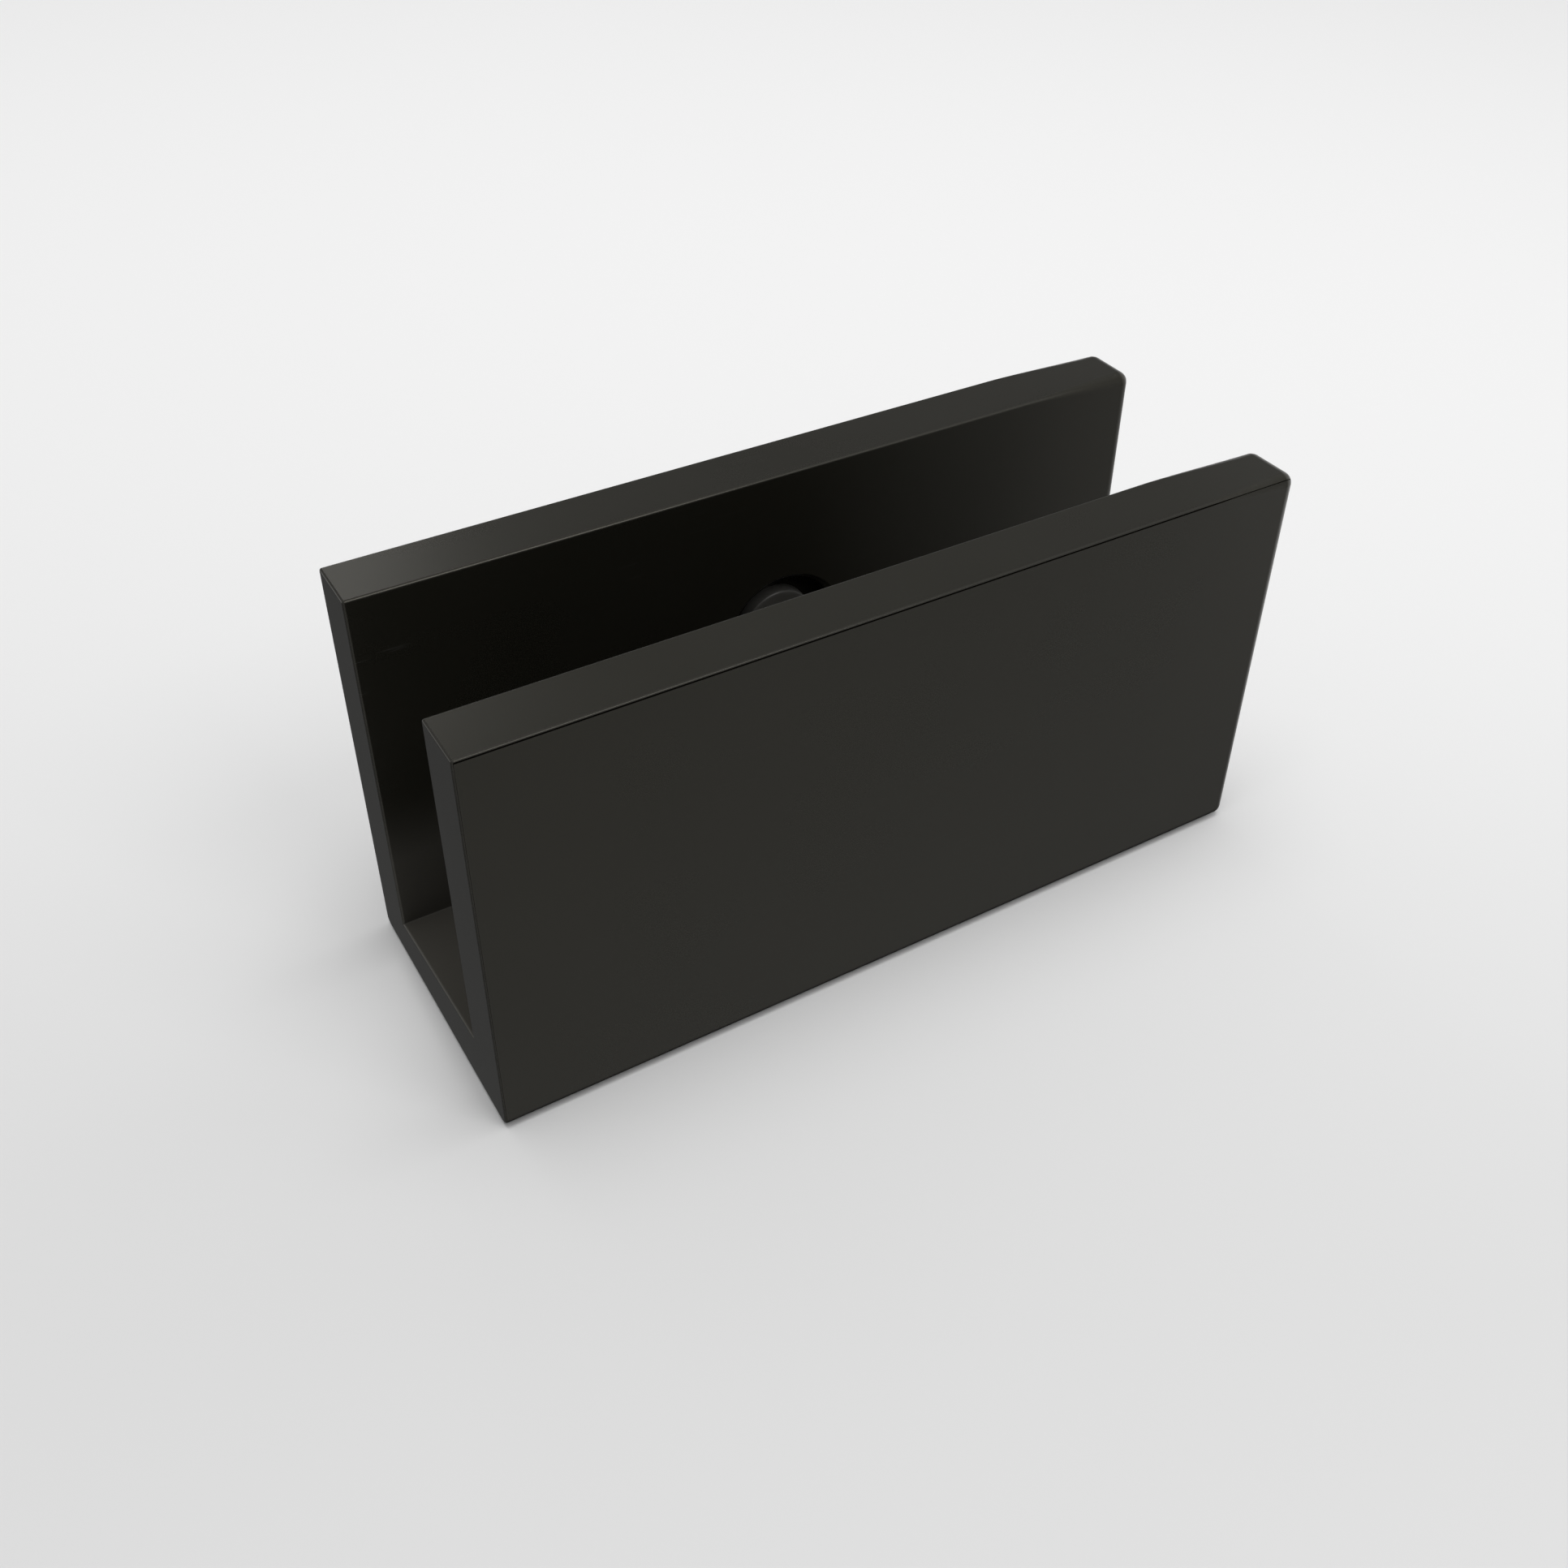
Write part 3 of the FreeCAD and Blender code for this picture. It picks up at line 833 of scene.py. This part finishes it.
def area_light(name, place, size, power, in_reflections):
    """A square soft light that faces the middle of the dispenser's top."""
    target = Vector((0.0, 0.0, SHELL_HIGH.z))
    data = bpy.data.lights.new(name, "AREA")
    data.shape = "SQUARE"
    data.size = size
    data.energy = power
    light = bpy.data.objects.new(name, data)
    light.location = place
    light.rotation_euler = (target - Vector(place)).to_track_quat("-Z", "Y").to_euler()
    light.visible_glossy = in_reflections
    bpy.context.scene.collection.objects.link(light)


def place_camera(lens):
    data = bpy.data.cameras.new("camera")
    data.lens = lens
    data.shift_x, data.shift_y = CAMERA_SHIFT
    camera = bpy.data.objects.new("camera", data)
    camera.location = CAMERA_PLACE
    camera.rotation_euler = Euler([math.radians(angle) for angle in CAMERA_TURN])
    bpy.context.scene.collection.objects.link(camera)
    bpy.context.scene.camera = camera


# Settings


def length_setting(label, description, default):
    return FloatProperty(
        name=label, description=description, default=default, min=0.0, unit="LENGTH", precision=5
    )


def colour_setting(label, description, default):
    return FloatVectorProperty(
        name=label,
        description=description,
        default=default,
        size=3,
        min=0.0,
        max=1.0,
        subtype="COLOR",
    )


def share_setting(label, description, default):
    return FloatProperty(
        name=label, description=description, default=default, min=0.0, max=1.0, subtype="FACTOR"
    )


def power_setting(label, description, default):
    return FloatProperty(name=label, description=description, default=default, min=0.0, unit="POWER")


class FinishSettings(bpy.types.PropertyGroup):
    """Colours and surface detail of the dispenser's materials."""

    moulding_colour: colour_setting(
        "Moulding", "Colour of the shell and panels", (0.0085, 0.008, 0.0055)
    )
    moulding_sheen: colour_setting("Sheen", "Tint of the moulding's reflections", (1.0, 0.96, 0.83))
    moulding_roughness: share_setting("Roughness", "Roughness of the satin moulding", 0.28)
    peel_depth: length_setting("Ripple", "Height of the moulding's faint ripple", 0.0025 * MM)
    wear_width: length_setting("Edge wear", "Width of the rubbed band along edges", 0.6 * MM)
    slot_rubbing: share_setting("Slot rubbing", "Roughness added in the slot's right part", 0.25)
    # Painted light: how strongly the low part of the slot is painted paler, and how far up it thins out.
    lint: share_setting("Lint", "How strongly paper lint tints the low part of the slot", 0.16)
    painted_light_height: length_setting("Lint height", "How far up the slot the lint thins out", 34.0 * MM)
    # This colour is also the tone of the painted light low in the slot.
    dust_and_painted_light_colour: colour_setting("Dust", "Colour of dust and lint", (0.35, 0.33, 0.3))
    cap_colour: colour_setting("Cap", "Colour of the screw caps", (0.062, 0.06, 0.054))
    cap_roughness: share_setting("Cap roughness", "Roughness of the screw caps", 0.45)
    cover_colour: colour_setting("Cover", "Colour of the underside cover", (0.016, 0.016, 0.015))
    steel_colour: colour_setting("Steel", "Colour of bare steel", (0.46, 0.46, 0.45))
    oxide_colour: colour_setting("Oxide", "Colour of blackened steel", (0.045, 0.045, 0.05))
    rubber_colour: colour_setting("Rubber", "Colour of the feet", (0.018, 0.018, 0.018))


class FittingSettings(bpy.types.PropertyGroup):
    """Sizes of the small fittings' details."""

    foot_grooves: IntProperty(
        name="Grooves", description="Grip grooves under a foot", default=3, min=0, max=5
    )
    groove_depth: length_setting("Groove depth", "Depth of a foot's grip grooves", 0.3 * MM)
    cap_dish: length_setting("Cap dish", "Depth of the dish in a cap's face", 0.12 * MM)


class StageSettings(bpy.types.PropertyGroup):
    """Floor, lights and camera."""

    # Painted shading: the floor is painted darker at the front than at the back.
    floor_near: colour_setting("Floor, near", "Colour of the floor at the front", (0.69, 0.69, 0.69))
    floor_far: colour_setting("Floor, far", "Colour of the floor at the back", (0.99, 0.99, 0.99))
    floor_size: length_setting("Floor size", "Width of the floor", 12.0)
    low_front: share_setting("Low front", "Light from below the horizon in front", 0.4)
    low_back: share_setting("Low back", "Light from below the horizon at the back's left", 0.125)
    under: share_setting("Under", "Light from below the horizon at the back's right", 0.025)
    middle: share_setting("Middle", "Light from a little above the horizon", 0.19)
    horizon: share_setting("Horizon", "Light from along the horizon at the back", 0.8)
    high: share_setting("High", "Light from high above", 0.465)
    side: share_setting("Side", "Light from the right", 1.0)
    key: power_setting("Key", "Power of the light in front", 2.2)
    window: power_setting("Window", "Power of the light behind", 0.2)
    overhead: power_setting("Overhead", "Power of the light overhead", 31.0)
    lens: FloatProperty(name="Lens", description="Focal length in millimetres", default=38.19, min=1.0)


# Operators


class DISPENSER_OT_moulding(bpy.types.Operator):
    """Finish the shell and its two outer panels"""

    bl_idname = "dispenser.moulding"
    bl_label = "Finish the moulding"

    def execute(self, context):
        material = satin_moulding(context.scene.dispenser_finishes)
        for node in ("shell", "front_panel", "back_panel"):
            dress(node, material)
        return {"FINISHED"}


class DISPENSER_OT_caps(bpy.types.Operator):
    """Model the cap over each panel screw"""

    bl_idname = "dispenser.caps"
    bl_label = "Model the screw caps"

    def execute(self, context):
        for wall in ("front", "back"):
            node = wall + "_screw_cap"
            low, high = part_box(node)
            middle = (low + high) / 2
            radius = (high.x - low.x) / 2
            depth = high.y - low.y
            bm = cap_shape(context.scene.dispenser_fittings, radius, depth)
            towards = 1 if wall == "front" else -1
            seat = Vector((middle.x, low.y if wall == "front" else high.y, middle.z))
            turn = Matrix.Rotation(-towards * math.pi / 2, 4, "X")
            bmesh.ops.transform(bm, matrix=Matrix.Translation(seat) @ turn, verts=bm.verts)
            material = cap_moulding(context.scene.dispenser_finishes, middle, radius)
            finished_piece(bm, wall + "_cap", material, node)
        return {"FINISHED"}


class DISPENSER_OT_panel_screws(bpy.types.Operator):
    """Finish the screws that hold the outer panels"""

    bl_idname = "dispenser.panel_screws"
    bl_label = "Finish the panel screws"

    def execute(self, context):
        material = black_oxide(context.scene.dispenser_finishes)
        for node in ("front_panel_screw", "back_panel_screw"):
            dress(node, material)
        return {"FINISHED"}


class DISPENSER_OT_cover(bpy.types.Operator):
    """Finish the underside cover and the ballast bar on it"""

    bl_idname = "dispenser.cover"
    bl_label = "Finish the cover and ballast"

    def execute(self, context):
        dress("base_cover", spark_texture(context.scene.dispenser_finishes))
        dress("ballast_bar", cut_bar_steel(context.scene.dispenser_finishes))
        return {"FINISHED"}


class DISPENSER_OT_screws(bpy.types.Operator):
    """Model the countersunk screws under the dispenser"""

    bl_idname = "dispenser.screws"
    bl_label = "Model the countersunk screws"

    def execute(self, context):
        material = black_oxide(context.scene.dispenser_finishes)
        for node, kind in SCREWS.items():
            low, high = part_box(node)
            reach_x = high.x - kind["head"]
            reach_y = high.y - kind["head"]
            bm = screw_shape(kind["head"], kind["shank"], kind["head_height"], high.z - low.z)
            copy_to(bm, [
                Matrix.Translation((column * reach_x, row * reach_y, low.z))
                for column in kind["columns"]
                for row in kind["rows"]
            ])
            finished_piece(bm, node + "_driven", material, node)
        return {"FINISHED"}


class DISPENSER_OT_feet(bpy.types.Operator):
    """Model the four grooved rubber feet"""

    bl_idname = "dispenser.feet"
    bl_label = "Model the feet"

    def execute(self, context):
        material = grip_rubber(context.scene.dispenser_finishes)
        for corner in ("front_left", "front_right", "back_left", "back_right"):
            node = "foot_" + corner
            low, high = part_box(node)
            middle = (low + high) / 2
            bm = foot_shape(context.scene.dispenser_fittings, (high.x - low.x) / 2, high.z - low.z)
            bmesh.ops.translate(bm, vec=(middle.x, middle.y, low.z), verts=bm.verts)
            finished_piece(bm, "grip_" + node, material, node)
        return {"FINISHED"}


class DISPENSER_OT_stage(bpy.types.Operator):
    """Set the floor, the sky, the lights and the camera"""

    bl_idname = "dispenser.stage"
    bl_label = "Set the stage"

    def execute(self, context):
        settings = context.scene.dispenser_stage
        lay_floor(settings)
        context.scene.world = bpy.data.worlds.new("studio sky")
        studio_sky(context.scene.world, settings)
        context.scene.view_settings.view_transform = "Standard"
        area_light("window", WINDOW_PLACE, WINDOW_SIZE, settings.window, True)
        area_light("key", KEY_PLACE, KEY_SIZE, settings.key, True)
        area_light("overhead", OVERHEAD_PLACE, OVERHEAD_SIZE, settings.overhead, False)
        place_camera(settings.lens)
        return {"FINISHED"}


class DISPENSER_PT_panel(bpy.types.Panel):
    """The dispenser's steps and settings"""

    bl_idname = "DISPENSER_PT_panel"
    bl_label = "Napkin Dispenser"
    bl_space_type = "VIEW_3D"
    bl_region_type = "UI"
    bl_category = "Dispenser"

    def draw(self, context):
        for operator in OPERATORS:
            self.layout.operator(operator.bl_idname)
        for group in SETTINGS:
            box = self.layout.box()
            settings = getattr(context.scene, group)
            for name in settings.bl_rna.properties.keys():
                if name not in ("rna_type", "name"):
                    box.prop(settings, name)


OPERATORS = (
    DISPENSER_OT_moulding,
    DISPENSER_OT_caps,
    DISPENSER_OT_panel_screws,
    DISPENSER_OT_cover,
    DISPENSER_OT_screws,
    DISPENSER_OT_feet,
    DISPENSER_OT_stage,
)

SETTINGS = {
    "dispenser_finishes": FinishSettings,
    "dispenser_fittings": FittingSettings,
    "dispenser_stage": StageSettings,
}


def register():
    for group, settings in SETTINGS.items():
        bpy.utils.register_class(settings)
        setattr(bpy.types.Scene, group, PointerProperty(type=settings))
    for operator in OPERATORS:
        bpy.utils.register_class(operator)
    bpy.utils.register_class(DISPENSER_PT_panel)


def unregister():
    bpy.utils.unregister_class(DISPENSER_PT_panel)
    for operator in reversed(OPERATORS):
        bpy.utils.unregister_class(operator)
    for group, settings in SETTINGS.items():
        delattr(bpy.types.Scene, group)
        bpy.utils.unregister_class(settings)


def main():
    register()
    bpy.ops.dispenser.moulding()
    bpy.ops.dispenser.caps()
    bpy.ops.dispenser.panel_screws()
    bpy.ops.dispenser.cover()
    bpy.ops.dispenser.screws()
    bpy.ops.dispenser.feet()
    bpy.ops.dispenser.stage()


if __name__ == "__main__":
    main()
